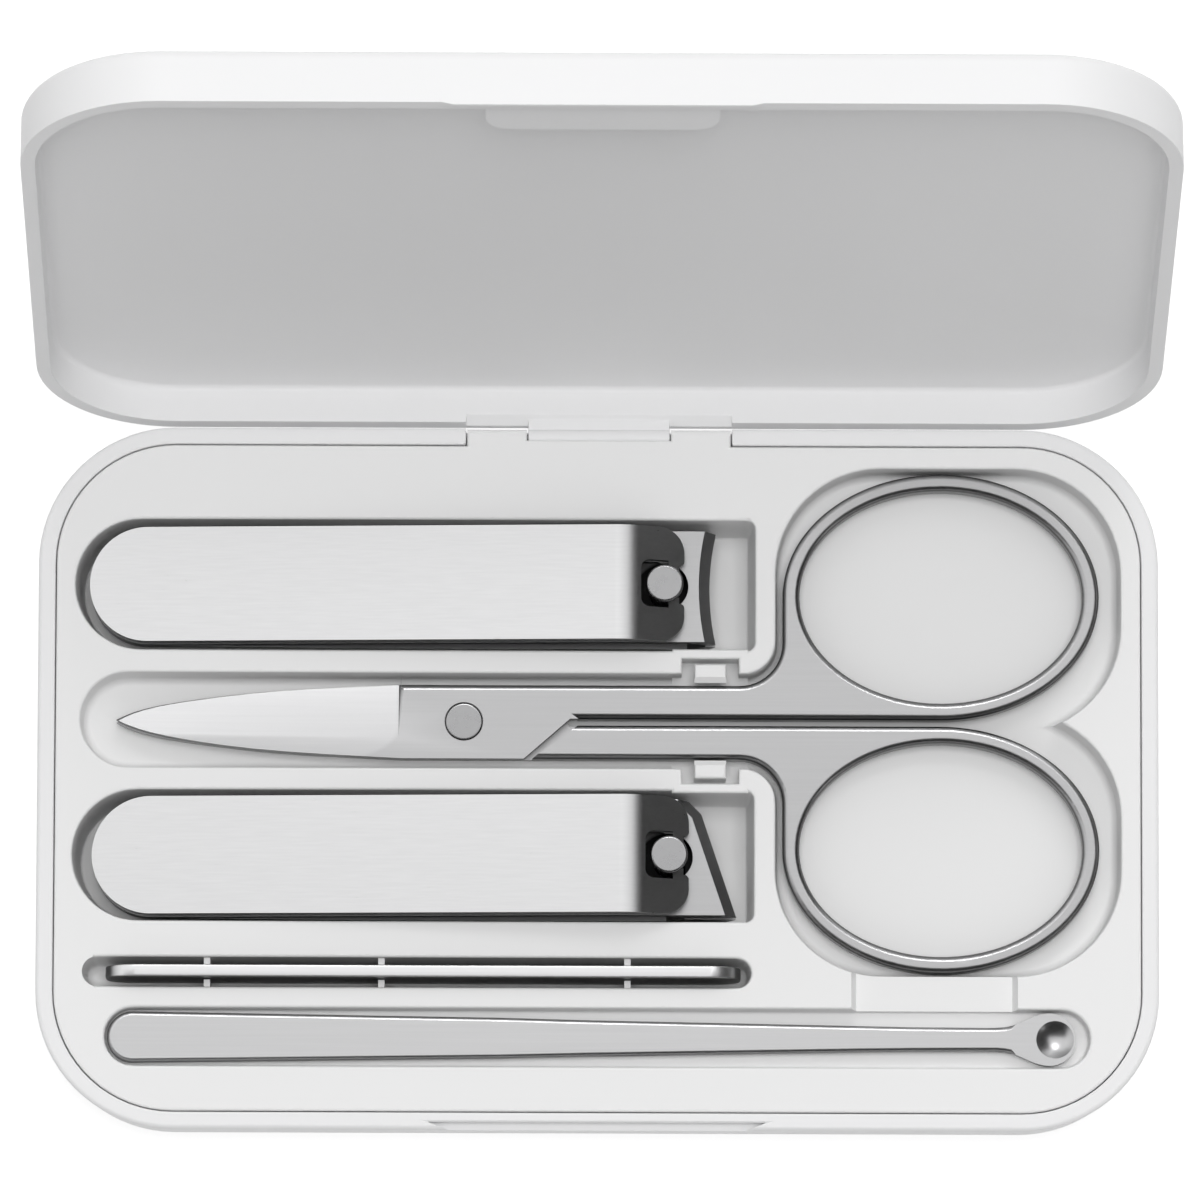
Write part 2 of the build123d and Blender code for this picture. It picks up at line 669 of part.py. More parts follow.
def make_clipper(name, y_mid, x_rear, x_edge, x_pin, arm_width, lever_width, jaw_points, curved):
    """Build one folded nail clipper as its five pieces, seated in its pocket."""
    plane = section_plane(y_mid)
    points = jaw_points(x_edge, arm_width / 2)
    x_far = x_edge + front_margin
    x_lip = min(x for x, y in points) - jaw_root
    x_rivet = x_rear + rear_rivet_inset
    arm_low_rear = arm_rear_z - arm_clearance - sheet
    upper_bottom = upper_arm_front_top - sheet

    with BuildPart() as lower_arm:
        with BuildSketch(plane):
            Polygon(
                (x_rear, arm_low_rear), (x_rivet + arm_rear_flat, arm_low_rear),
                (x_rivet + lower_arm_ramp, lower_arm_bottom), (x_far, lower_arm_bottom),
                (x_far, lower_edge_z), (x_lip, lower_edge_z),
                (x_lip, lower_arm_bottom + sheet), (x_rivet + lower_arm_ramp, lower_arm_bottom + sheet),
                (x_rivet + arm_rear_flat, arm_low_rear + sheet), (x_rear, arm_low_rear + sheet),
                align=None,
            )
        extrude(amount=arm_width / 2, both=True)
        with BuildSketch(Plane.XY):
            arm_plan(x_rear, x_far, y_mid, arm_width)
        extrude(amount=base_height, mode=Mode.INTERSECT)
        # outer bevel, narrow at the cutting edge and set back at the sole
        with BuildSketch(Plane.XY.offset(lower_edge_z)):
            jaw_front(points, y_mid, curved)
        extrude(amount=-lower_lip, taper=-degrees(atan2(jaw_bevel, lower_lip)), mode=Mode.SUBTRACT)
        # inner hollow of the turned-up lip
        with BuildSketch(plane):
            Polygon(
                (x_lip - front_margin, lower_arm_bottom + sheet), (x_lip, lower_arm_bottom + sheet),
                (x_lip + jaw_root - lip_edge_thickness, lower_edge_z),
                (x_lip + jaw_root - lip_edge_thickness, lower_edge_z + front_margin),
                (x_lip - front_margin, lower_edge_z + front_margin),
                align=None,
            )
        extrude(amount=arm_width, both=True, mode=Mode.SUBTRACT)
        upright_cylinder(x_pin, y_mid, 0, base_height, pin_shank_radius + arm_clearance, Mode.SUBTRACT)
        upright_cylinder(x_rivet, y_mid, 0, base_height, rear_rivet_radius, Mode.SUBTRACT)

    with BuildPart() as upper_arm:
        with BuildSketch(plane):
            Polygon(
                (x_rear, arm_rear_z), (x_rivet + arm_rear_flat, arm_rear_z),
                (x_pin - upper_arm_ramp_end, upper_bottom), (x_lip, upper_bottom),
                (x_lip, upper_edge_z), (x_far, upper_edge_z),
                (x_far, upper_arm_front_top), (x_pin - upper_arm_ramp_end, upper_arm_front_top),
                (x_rivet + arm_rear_flat, arm_rear_z + sheet), (x_rear, arm_rear_z + sheet),
                align=None,
            )
        extrude(amount=arm_width / 2, both=True)
        with BuildSketch(Plane.XY):
            arm_plan(x_rear, x_far, y_mid, arm_width)
        extrude(amount=2 * base_height, mode=Mode.INTERSECT)
        with BuildSketch(Plane.XY.offset(upper_edge_z)):
            jaw_front(points, y_mid, curved)
        extrude(amount=jaw_lip, taper=-degrees(atan2(jaw_bevel, jaw_lip)), mode=Mode.SUBTRACT)
        with BuildSketch(plane):
            Polygon(
                (x_lip - front_margin, upper_bottom), (x_lip, upper_bottom),
                (x_lip + jaw_root - lip_edge_thickness, upper_edge_z),
                (x_lip + jaw_root - lip_edge_thickness, upper_edge_z - front_margin),
                (x_lip - front_margin, upper_edge_z - front_margin),
                align=None,
            )
        extrude(amount=arm_width, both=True, mode=Mode.SUBTRACT)
        upright_cylinder(x_pin, y_mid, 0, 2 * base_height, arm_pin_hole_radius, Mode.SUBTRACT)
        with BuildSketch(Plane.XY):
            with Locations((x_pin - arm_hole_back / 2, y_mid)):
                RectangleRounded(arm_hole_back, 2 * arm_hole_half, window_corner)
        extrude(amount=2 * base_height, mode=Mode.SUBTRACT)
        upright_cylinder(x_rivet, y_mid, 0, 2 * base_height, rear_rivet_radius + flex_clearance,
                         Mode.SUBTRACT)

    rivet_low = arm_low_rear - rear_rivet_head_height
    rivet_high = arm_rear_z + sheet + flex_clearance
    with BuildPart() as rear_rivet:
        upright_cylinder(x_rivet, y_mid, rivet_low, rivet_high + rear_rivet_head_height,
                         rear_rivet_radius)
        upright_cylinder(x_rivet, y_mid, rivet_low, arm_low_rear, rear_rivet_head)
        upright_cylinder(x_rivet, y_mid, rivet_high, rivet_high + rear_rivet_head_height,
                         rear_rivet_head)

    pivot_x_here = x_pin + lever_pivot_reach
    lever_bend_x = x_pin - lever_bend_back
    pivot_z = lever_top_front - lever_sheet / 2 - lever_slope * (pivot_x_here - lever_bend_x)
    head_low = pivot_z + pin_head_lift
    with BuildPart() as pin:
        upright_cylinder(x_pin, y_mid, foot_z, lower_arm_bottom, pin_foot_radius)
        upright_cylinder(x_pin, y_mid, foot_z, upper_arm_front_top, pin_shank_radius)
        upright_cylinder(x_pin, y_mid, upper_arm_front_top, head_low, pin_neck_radius)
        for side in (1, -1):
            with Locations((x_pin, y_mid + side * pin_neck_flat, upper_arm_front_top)):
                Box(4 * pin_neck_radius, pin_neck_radius, head_low - upper_arm_front_top,
                    align=(Align.CENTER, Align.MIN if side > 0 else Align.MAX, Align.MIN),
                    mode=Mode.SUBTRACT)
        upright_cylinder(x_pin, y_mid, head_low, head_low + pin_head_height, pin_head_radius)
        fillet(pin.faces().sort_by(Axis.Z)[-1].edges(), pin_head_round)

    front_x = x_pin + lever_front_reach
    front_top = lever_top_front - lever_slope * (front_x - lever_bend_x)
    # the front end is cut square to the slope, so that it clears the arm as the lever tips
    square_drop = lever_sheet / (1 + lever_slope ** 2)
    front_low = (front_x - lever_slope * square_drop, front_top - square_drop)
    with BuildPart() as lever:
        with BuildSketch(plane):
            Polygon(
                (x_rear, lever_top_rear - lever_sheet), (x_rear, lever_top_rear),
                (lever_bend_x, lever_top_front), (front_x, front_top),
                front_low, (lever_bend_x, lever_top_front - lever_sheet),
                align=None,
            )
        extrude(amount=lever_width / 2, both=True)
        # from above: a window for the pin's head, open at the front between two hooks
        with BuildSketch(Plane.XY) as lever_plan:
            with BuildLine() as outline:
                half = lever_width / 2
                high = Line((x_rear + half, y_mid + half), (front_x - lever_corner, y_mid + half))
                arc_high = RadiusArc(high @ 1, (front_x, y_mid + half - lever_corner), lever_corner)
                front = Line(arc_high @ 1, (front_x, y_mid - half + lever_corner))
                arc_low = RadiusArc(front @ 1, (front_x - lever_corner, y_mid - half), lever_corner)
                low = Line(arc_low @ 1, (x_rear + half, y_mid - half))
                ThreePointArc(low @ 1, (x_rear, y_mid), high @ 0)
            make_face(outline.edges())
            with Locations((x_pin + (hook_end - lever_window) / 2, y_mid)):
                RectangleRounded(lever_window + hook_end, 2 * lever_window, window_corner,
                                 mode=Mode.SUBTRACT)
            with Locations((x_pin, y_mid)):
                Rectangle(2 * lever_front_reach, 2 * fork_gap, align=(Align.MIN, Align.CENTER),
                          mode=Mode.SUBTRACT)
            with Locations(*[(x_pin + hook_start, y_mid + side * (hook_gap + lever_window) / 2)
                             for side in (1, -1)]):
                Rectangle(hook_end - hook_start, lever_window - hook_gap,
                          align=(Align.MIN, Align.CENTER))
            front_corners = lever_plan.vertices().group_by(Axis.X)[-1]
            fillet(front_corners.sort_by(lambda v: abs(v.Y - y_mid))[:2], fork_corner)
        extrude(amount=2 * base_height, mode=Mode.INTERSECT)

    for piece, label in ((lower_arm, "lower_arm"), (upper_arm, "upper_arm"), (lever, "lever"),
                         (pin, "pin"), (rear_rivet, "rear_rivet")):
        write(piece.part, f"{name}_{label}")


make_clipper("clipper_a", clipper_a_y, clipper_a_rear, clipper_a_edge, clipper_a_pin,
             clipper_a_arm_width, clipper_a_lever_width, concave_jaw, True)
make_clipper("clipper_b", clipper_b_y, clipper_b_rear, clipper_b_edge, clipper_b_pin,
             clipper_b_arm_width, clipper_b_lever_width, slanted_jaw, False)

# ================================================================ scissors
ring_half_length = ring_hole_length / 2 + ring_band
ring_half_width = ring_hole_width / 2 + ring_band
ring_offset_y = shank_gap + ring_half_width
top_z = scissors_mid_z + scissors_thickness / 2
low_z = scissors_mid_z - scissors_thickness / 2
diagonal_low = (pivot_x + diagonal_start, -shank_half)
diagonal_high = (pivot_x + diagonal_end, shank_gap)
# where the full-thickness handle meets its own blade, past the other half's diagonal
handle_low = (diagonal_low[0] + diagonal_gap, shank_half)
handle_high = (diagonal_high[0] + diagonal_gap, shank_gap)


def scissors_plan():
    """One half from above, about the scissors' own long axis; its ring is at +Y."""
    with BuildLine() as outline:
        edge = Spline((tip_x, lower_edge_inset), (blade_fore_x, blade_fore_half),
                      (blade_mid_x, blade_mid_half), (blade_root_x, shank_half),
                      tangents=[(1, blade_tip_slope), (1, blade_root_slope)])
        shank_top = Line(edge @ 1, handle_low)
        meeting = Line(shank_top @ 1, handle_high)
        shank_low = Line(meeting @ 1, diagonal_high)
        diagonal = Line(shank_low @ 1, diagonal_low)
        belly = Line(diagonal @ 1, (blade_root_x, -shank_half))
        Spline(belly @ 1, (blade_mid_x, lower_edge_inset / 2 - blade_mid_half),
               (blade_fore_x, lower_edge_inset - blade_fore_half), (tip_x, lower_edge_inset),
               tangents=[(-1, blade_root_slope), (-1, blade_tip_slope)])
    make_face(outline.edges())


with BuildPart() as handle:
    with BuildSketch(Plane(origin=(0, scissors_y, low_z))) as handle_sketch:
        with Locations((ring_x, ring_offset_y)):
            Ellipse(ring_half_length, ring_half_width)
        Polygon(
            handle_low,
            handle_high,
            (ring_x, shank_gap),
            (ring_x, ring_offset_y),
            (ring_x - ring_half_length, ring_offset_y),
            (ring_x - ring_half_length, shank_half),
            align=None,
        )
        web_corner = handle_sketch.vertices().sort_by_distance(
            (ring_x - ring_half_length, shank_half, 0))[0]
        fillet(web_corner, web_fillet)
        with Locations((ring_x, ring_offset_y)):
            Ellipse(ring_hole_length / 2, ring_hole_width / 2, mode=Mode.SUBTRACT)
    extrude(amount=scissors_thickness)
    grip_edges = [edge for face in (handle.faces().sort_by(Axis.Z)[0], handle.faces().sort_by(Axis.Z)[-1])
                  for edge in face.edges() if edge.center().X > handle_high[0]]
    fillet(grip_edges, scissors_edge_radius)

with BuildPart() as scissors_upper_half:
    with BuildSketch(Plane(origin=(0, scissors_y, scissors_mid_z + blade_gap))):
        scissors_plan()
    extrude(amount=scissors_thickness / 2 - blade_gap)
    shank_edges = scissors_upper_half.edges().filter_by(Axis.X).filter_by(
        lambda e: e.center().Z > top_z - blade_gap and e.center().Y > scissors_y + shank_gap)
    fillet(shank_edges.sort_by(Axis.Y)[-1], scissors_edge_radius)
    # ground face of the blade, deepest along the upper edge
    ground_far = 2 * shank_half
    ground_drop = ground_depth * (ground_far - ground_low) / (shank_half - ground_low)
    with BuildSketch(cross_plane(blade_root_x)):
        Polygon(
            (scissors_y + ground_low, top_z), (scissors_y + ground_far, top_z),
            (scissors_y + ground_far, top_z - ground_drop),
            align=None,
        )
    extrude(amount=2 * (tip_x - blade_root_x), mode=Mode.SUBTRACT)
    add(handle.part)
    upright_cylinder(pivot_x, scissors_y, 0, base_height, pivot_rivet_radius + pivot_fit, Mode.SUBTRACT)
    upright_cylinder(pivot_x, scissors_y, top_z - pivot_head_height, base_height,
                     pivot_head_radius + pivot_fit, Mode.SUBTRACT)

with BuildPart() as scissors_lower_half:
    add(scissors_upper_half.part.rotate(
        Axis((0, scissors_y, scissors_mid_z), (1, 0, 0)), 180))

with BuildPart() as scissors_rivet:
    upright_cylinder(pivot_x, scissors_y, low_z, top_z, pivot_rivet_radius)
    head_play = pivot_fit
    upright_cylinder(pivot_x, scissors_y, top_z - pivot_head_height + head_play, top_z + head_play,
                     pivot_head_radius)
    upright_cylinder(pivot_x, scissors_y, low_z - head_play, low_z + pivot_head_height - head_play,
                     pivot_head_radius)

write(scissors_upper_half.part, "scissors_upper_half")
write(scissors_lower_half.part, "scissors_lower_half")
write(scissors_rivet.part, "scissors_rivet")

# ================================================================ nail file
file_bottom = tray_top - file_slot_depth + seat_clearance

with BuildPart() as nail_file:
    with BuildSketch(section_plane(file_y)):
        with Locations(((file_left + file_right) / 2, file_bottom + file_height / 2)):
            RectangleRounded(file_right - file_left, file_height, file_end_radius)
    extrude(amount=file_thickness / 2, both=True)
write(nail_file.part, "nail_file")

# ================================================================ ear pick
pick_low = tray_top - pick_pocket_depth + seat_clearance
cup_x = pick_right - pick_cup_length / 2

with BuildPart() as ear_pick:
    with BuildSketch(Plane.XY.offset(pick_low)):
        head_half = pick_head_width / 2
        waist_half = head_half * pick_waist_share
        neck_half = pick_neck_width / 2
        cup_half = pick_cup_width / 2
        with BuildLine() as outline:
            for side in (1, -1):
                Line((pick_left + head_half, pick_y + side * head_half),
                     (pick_waist_x, pick_y + side * waist_half))
                Spline((pick_waist_x, pick_y + side * waist_half),
                       (pick_mid_x, pick_y + side * pick_mid_width / 2),
                       (pick_neck_x, pick_y + side * neck_half),
                       tangents=[(1, -side * pick_taper), (1, 0)])
                Spline((pick_neck_x, pick_y + side * neck_half),
                       (pick_flare_x, pick_y + side * pick_flare_width / 2),
                       (cup_x, pick_y + side * cup_half),
                       tangents=[(1, 0), (1, -side * cup_turn)])
            ThreePointArc((pick_left + head_half, pick_y + head_half), (pick_left, pick_y),
                          (pick_left + head_half, pick_y - head_half))
            ThreePointArc((cup_x, pick_y + cup_half), (pick_right, pick_y), (cup_x, pick_y - cup_half))
        make_face(outline.edges())
    extrude(amount=pick_thickness)
    bowl_z = pick_low + pick_thickness - pick_bowl_depth + pick_bowl_radius
    with Locations((cup_x, pick_y, bowl_z)):
        Sphere(pick_bowl_radius, rotation=(90, 0, 0), mode=Mode.SUBTRACT)
write(ear_pick.part, "ear_pick")
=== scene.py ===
# %% [markdown]
# # A pocket manicure case
#
# The case holds two folding nail clippers, a pair of scissors, a nail file and an ear pick.  The
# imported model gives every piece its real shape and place.  This notebook loads it, gives the
# moulded shell and the steel tools their finishes, sets up a plain studio, and places the camera.

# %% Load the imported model
import json
from math import cos, radians, sin

import bpy
from mathutils import Matrix, Vector


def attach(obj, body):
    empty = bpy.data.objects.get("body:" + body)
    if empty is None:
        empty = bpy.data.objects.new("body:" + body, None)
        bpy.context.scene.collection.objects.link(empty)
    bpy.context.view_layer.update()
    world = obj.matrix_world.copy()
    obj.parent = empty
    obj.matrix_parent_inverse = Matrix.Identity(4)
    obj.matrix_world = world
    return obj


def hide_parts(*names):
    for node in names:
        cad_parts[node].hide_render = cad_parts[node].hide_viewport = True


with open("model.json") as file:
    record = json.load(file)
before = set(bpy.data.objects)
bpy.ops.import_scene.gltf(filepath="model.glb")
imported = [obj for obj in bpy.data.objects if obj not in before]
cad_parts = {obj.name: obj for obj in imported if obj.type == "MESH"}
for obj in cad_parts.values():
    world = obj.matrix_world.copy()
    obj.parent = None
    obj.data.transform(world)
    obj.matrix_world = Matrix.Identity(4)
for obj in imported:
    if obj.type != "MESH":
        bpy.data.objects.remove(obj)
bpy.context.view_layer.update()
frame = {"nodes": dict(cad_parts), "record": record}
nodes = frame["nodes"]
body_of = {node: body for body, members in frame["record"]["behaviour"]["bodies"].items()
           for node in members}
MM = 0.001
bpy.ops.object.select_all(action="DESELECT")

# %% [markdown]
# ## Dressing a piece
#
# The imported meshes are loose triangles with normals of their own.  A copy is merged, its flat
# faces are joined again and the old normals are dropped, so that rounding and shading can start
# afresh.  Triangles could be shaded as they come, but then no edge could be rounded.

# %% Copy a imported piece
MERGE = 0.002 * MM
FLAT_ANGLE = radians(0.4)


def merged_copy(node):
    """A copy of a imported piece: doubles merged, flat faces joined, old normals dropped."""
    source = nodes[node]
    piece = source.copy()
    piece.data = source.data.copy()
    piece.name = node + "_finish"
    piece.parent = None
    bpy.context.scene.collection.objects.link(piece)
    bpy.ops.object.select_all(action="DESELECT")
    piece.select_set(True)
    bpy.context.view_layer.objects.active = piece
    bpy.ops.object.mode_set(mode="EDIT")
    bpy.ops.mesh.select_all(action="SELECT")
    bpy.ops.mesh.remove_doubles(threshold=MERGE)
    bpy.ops.mesh.dissolve_limited(angle_limit=FLAT_ANGLE)
    bpy.ops.object.mode_set(mode="OBJECT")
    bpy.ops.mesh.customdata_custom_splitnormals_clear()
    for edge in piece.data.edges:
        edge.use_edge_sharp = False
    return piece


# %% [markdown]
# ## Rounding the edges
#
# No real edge is perfectly sharp: a mould or a polishing belt leaves a tiny round, and that round
# is what catches the light.  Most edges get one small bevel by angle.  Where a piece needs a
# larger round on some edges only, these are picked by their place and by the faces beside them.

# %% Round chosen edges
def round_edges(piece, width, segments, test):
    """Round the edges whose middle, run and two face normals pass the test."""
    mesh = piece.data
    faces_at = {}
    for face in mesh.polygons:
        for key in face.edge_keys:
            faces_at.setdefault(key, []).append(face.normal)
    for element in (*mesh.polygons, *mesh.vertices):
        element.select = False
    chosen = 0
    for edge in mesh.edges:
        first, last = (mesh.vertices[index].co / MM for index in edge.vertices)
        normals = faces_at.get(edge.key, [])
        edge.select = len(normals) == 2 and test((first + last) / 2, last - first, *normals)
        chosen += edge.select
    bpy.context.tool_settings.mesh_select_mode = (False, True, False)
    bpy.ops.object.mode_set(mode="EDIT")
    bpy.ops.mesh.bevel(offset=width * MM, segments=segments, affect="EDGES", clamp_overlap=False)
    bpy.ops.object.mode_set(mode="OBJECT")
    print(piece.name, "rounds", chosen, "edges by", width, "mm")


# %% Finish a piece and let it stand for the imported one
SMOOTH_ANGLE = radians(28)
AREA_WEIGHT = 100


def finish(piece, node, material, edge_round=0.0, segments=2):
    """Round what is still sharp, shade, and let the copy stand for its piece."""
    if edge_round:
        bevel = piece.modifiers.new("edge_round", "BEVEL")
        bevel.width = edge_round * MM
        bevel.segments = segments
        bevel.limit_method = "ANGLE"
        bevel.angle_limit = SMOOTH_ANGLE
        bevel.use_clamp_overlap = True
        bpy.ops.object.modifier_apply(modifier=bevel.name)
    piece.data.materials.clear()
    piece.data.materials.append(material)
    bpy.ops.object.shade_smooth_by_angle(angle=SMOOTH_ANGLE)
    even = piece.modifiers.new("even_flats", "WEIGHTED_NORMAL")
    even.mode = "FACE_AREA"
    even.weight = AREA_WEIGHT
    even.keep_sharp = True
    bpy.ops.object.modifier_apply(modifier=even.name)
    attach(piece, body_of[node])
    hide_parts(node)
    print(piece.name, len(piece.data.polygons), "faces")


def dress(node, material, edge_round=0.0, segments=2):
    """The plain case: copy, round every sharp edge a little when edge_round is given, shade."""
    finish(merged_copy(node), node, material, edge_round, segments)


# %% [markdown]
# ## Satin moulded plastic
#
# The shell and the tray are white injection-moulded plastic with a fine spark-eroded satin.  A
# small noise bump breaks up the highlight, and a very slow noise shifts the roughness a little,
# as real mouldings do.  The helpers below keep every material that follows short.

# %% Helpers for materials
def add_node(tree, kind, inputs, **settings):
    """A new shader node; each of its inputs is given as a value or as a socket to link."""
    made = tree.nodes.new("ShaderNode" + kind)
    for name, value in settings.items():
        setattr(made, name, value)
    for place, value in inputs.items():
        if isinstance(value, bpy.types.NodeSocket):
            tree.links.new(value, made.inputs[place])
        else:
            made.inputs[place].default_value = value
    return made


def new_material(name):
    """A material with its node tree and its main shader."""
    material = bpy.data.materials.new(name)
    material.use_nodes = True
    return material, material.node_tree, material.node_tree.nodes["Principled BSDF"]


def cool(level):
    """A grey with a trace of blue."""
    return (level, level, level + 0.005)


# %% Plastic
PLASTIC_IOR = 1.49
GRAIN_SCALE = 900.0
GRAIN_STRENGTH = 0.08
GRAIN_DEPTH = 0.02 * MM
SLOW_SCALE = 45.0
SATIN_SPREAD = 0.04


def satin_plastic(name, colour, roughness):
    """White moulded plastic with a fine satin grain."""
    material, tree, shader = new_material(name)
    shader.inputs["Base Color"].default_value = (*colour, 1)
    shader.inputs["IOR"].default_value = PLASTIC_IOR
    place = add_node(tree, "TexCoord", {}).outputs["Object"]
    fine = add_node(tree, "TexNoise", {"Vector": place, "Scale": GRAIN_SCALE, "Detail": 2.0})
    slow = add_node(tree, "TexNoise", {"Vector": place, "Scale": SLOW_SCALE})
    spread = add_node(tree, "MapRange", {
        "Value": slow.outputs["Fac"],
        "To Min": roughness - SATIN_SPREAD,
        "To Max": roughness + SATIN_SPREAD})
    bump = add_node(tree, "Bump", {
        "Strength": GRAIN_STRENGTH, "Distance": GRAIN_DEPTH, "Height": fine.outputs["Fac"]})
    tree.links.new(spread.outputs["Result"], shader.inputs["Roughness"])
    tree.links.new(bump.outputs["Normal"], shader.inputs["Normal"])
    print(name, "colour", colour, "roughness", roughness)
    return material


CASE_WHITE = satin_plastic("case_white", cool(0.87), 0.42)
TRAY_WHITE = satin_plastic("tray_white", (0.87, 0.87, 0.87), 0.50)

# %% [markdown]
# ## Satin stainless steel
#
# The tools are stamped from stainless sheet and brushed along their length.  Noise stretched
# along X gives the brushing: it varies the roughness and the tint and lifts the normal a little
# across the lines.  Upright faces, the side faces and the steep parts of the rounds, are darkened
# as painted shade.  A material could be painted face by face, but reading the normal keeps the
# painted shade inside the small rounds.

# %% Painted shade round the pin, and the ground part of the blade
# Painted shade round a clipper's pin: its radius, where it starts to fade, and its darkest level.
WELL_RADIUS = 3.4 * MM
WELL_EDGE = 0.9
WELL_SHADE = 0.04
GROUND_GAIN = 1.12
GROUND_EDGE = 0.90
GROUND_CORNER = Vector((-26.4, 5.4, 0.0)) * MM
GROUND_REACH = Vector((6.0, -3.4, 1000.0)) * MM


def painted_pin_shade(tree, place, axis_x, axis_y):
    """A factor that falls to WELL_SHADE round an upright axis: painted shade, deep in the window
    of the lever.
    """
    flat = add_node(tree, "VectorMath", {0: place, 1: (1, 1, 0)}, operation="MULTIPLY")
    away = add_node(tree, "VectorMath", {
        0: flat.outputs["Vector"], 1: (axis_x * MM, axis_y * MM, 0)}, operation="DISTANCE")
    fade = add_node(tree, "MapRange", {
        "Value": away.outputs["Value"],
        "From Min": WELL_RADIUS * WELL_EDGE,
        "From Max": WELL_RADIUS,
        "To Min": WELL_SHADE})
    return fade.outputs["Result"]


def ground_flat(tree, place):
    """A factor of GROUND_GAIN on the blade, where the wheel ran out in a round corner."""
    corner = add_node(tree, "Mapping", {
        "Vector": place, "Location": GROUND_CORNER, "Scale": GROUND_REACH}, vector_type="TEXTURE")
    past = add_node(tree, "VectorMath", {
        0: corner.outputs["Vector"], 1: (0, 0, 0)}, operation="MAXIMUM")
    far = add_node(tree, "VectorMath", {0: past.outputs["Vector"]}, operation="LENGTH")
    fade = add_node(tree, "MapRange", {
        "Value": far.outputs["Value"],
        "From Min": GROUND_EDGE,
        "From Max": 1.0,
        "To Min": GROUND_GAIN,
        "To Max": 1.0})
    return fade.outputs["Result"]


# %% Steel
BRUSH_SCALE = (60.0, 4200.0, 4200.0)
TURNED_SCALE = (900.0, 900.0, 900.0)
BRUSH_STRENGTH = 0.25
BRUSH_DEPTH = 0.004 * MM
BRUSH_SPREAD = 0.05
BRUSH_DARK = 0.94
BRUSH_LIGHT = 1.05
# The painted shade of upright faces is full below SIDE_FLATNESS and gone above TOP_FLATNESS, in
# the height of the normal.
SIDE_FLATNESS = 0.55
TOP_FLATNESS = 0.90


def brushed_steel(name, level, roughness, side, line_scale=BRUSH_SCALE, dimmer=None):
    """Stainless steel; side is the level of painted shade on its upright faces beside its flats.
    """
    material, tree, shader = new_material(name)
    shader.inputs["Metallic"].default_value = 1.0
    place = add_node(tree, "TexCoord", {})
    stretch = add_node(tree, "Mapping", {"Vector": place.outputs["Object"], "Scale": line_scale})
    lines = add_node(tree, "TexNoise", {
        "Vector": stretch.outputs["Vector"], "Scale": 1.0, "Detail": 3.0}).outputs["Fac"]
    spread = add_node(tree, "MapRange", {
        "Value": lines, "To Min": roughness - BRUSH_SPREAD, "To Max": roughness + BRUSH_SPREAD})
    tint = add_node(tree, "Mix", {
        "Factor": lines,
        "A": (*(part * BRUSH_DARK for part in cool(level)), 1),
        "B": (*(part * BRUSH_LIGHT for part in cool(level)), 1)}, data_type="RGBA")
    bump = add_node(tree, "Bump", {
        "Strength": BRUSH_STRENGTH, "Distance": BRUSH_DEPTH, "Height": lines})
    # Painted shade: faces that turn away from upright are darkened down to side.
    normal = add_node(tree, "SeparateXYZ", {"Vector": place.outputs["Normal"]})
    upright = add_node(tree, "Math", {0: normal.outputs["Z"]}, operation="ABSOLUTE")
    flatness = add_node(tree, "MapRange", {
        "Value": upright.outputs["Value"],
        "From Min": SIDE_FLATNESS,
        "From Max": TOP_FLATNESS,
        "To Min": side})
    dimming = flatness.outputs["Result"]
    if dimmer:
        both = add_node(tree, "Math", {
            0: dimming, 1: dimmer(tree, place.outputs["Object"])}, operation="MULTIPLY")
        dimming = both.outputs["Value"]
    shade = add_node(tree, "Mix", {
        "Factor": 1.0, "A": tint.outputs["Result"], "B": dimming},
        data_type="RGBA", blend_type="MULTIPLY")
    tree.links.new(shade.outputs["Result"], shader.inputs["Base Color"])
    tree.links.new(spread.outputs["Result"], shader.inputs["Roughness"])
    tree.links.new(bump.outputs["Normal"], shader.inputs["Normal"])
    print(name, "level", level, "roughness", roughness, "sides", side)
    return material


# Each steel's side sets the painted shade on its upright faces.
LEVER_STEEL = brushed_steel("lever_steel", 0.74, 0.30, side=0.45)
ARM_LEVEL, ARM_ROUGHNESS, ARM_SIDE = 0.50, 0.32, 0.4
ARM_STEEL = brushed_steel("arm_steel", ARM_LEVEL, ARM_ROUGHNESS, side=ARM_SIDE)
SCISSORS_STEEL = brushed_steel("scissors_steel", 0.50, 0.32, side=0.25, dimmer=ground_flat)
FILE_STEEL = brushed_steel("file_steel", 0.80, 0.38, side=0.2)
PICK_STEEL = brushed_steel("pick_steel", 0.60, 0.32, side=0.5)
PIN_STEEL = brushed_steel("pin_steel", 0.40, 0.28, side=0.4, line_scale=TURNED_SCALE)

# %% [markdown]
# ## The case, the lid and the tray
#
# All three are moulded, so their rims turn over in a small even round.  On the base and the tray
# only the top rims are rounded, by a set width: a bevel of every edge would shrink to what its
# shortest edge allows.  The ribs in the file's slot are too thin for it and stay sharp.  The
# magnets and the hinge pin are hidden and only need their steel.

# %% Case, lid and tray
LEVEL_NORMAL = 0.95
WALL_NORMAL = 0.3
TRAY_TOP = 12.0
RIM_REACH = 0.3
SLOT_Y = -20.25
SLOT_HALF_WIDTH = 1.45
SLOT_END_X = 14.0
BASE_ROUND = 0.2
TRAY_ROUND = 0.28
LID_ROUND = 0.12
RIM_SEGMENTS = 3


def level_to_wall(first, last):
    """One face is level and the other one is a wall."""
    tilts = sorted((abs(first.z), abs(last.z)))
    return tilts[0] < WALL_NORMAL and tilts[1] > LEVEL_NORMAL


def top_rim(middle, run, first, last):
    """An edge where the top turns down into a wall, other than on the ribs of the file's slot."""
    in_slot = abs(middle.y - SLOT_Y) < SLOT_HALF_WIDTH and middle.x < SLOT_END_X
    return abs(middle.z - TRAY_TOP) < RIM_REACH and level_to_wall(first, last) and not in_slot


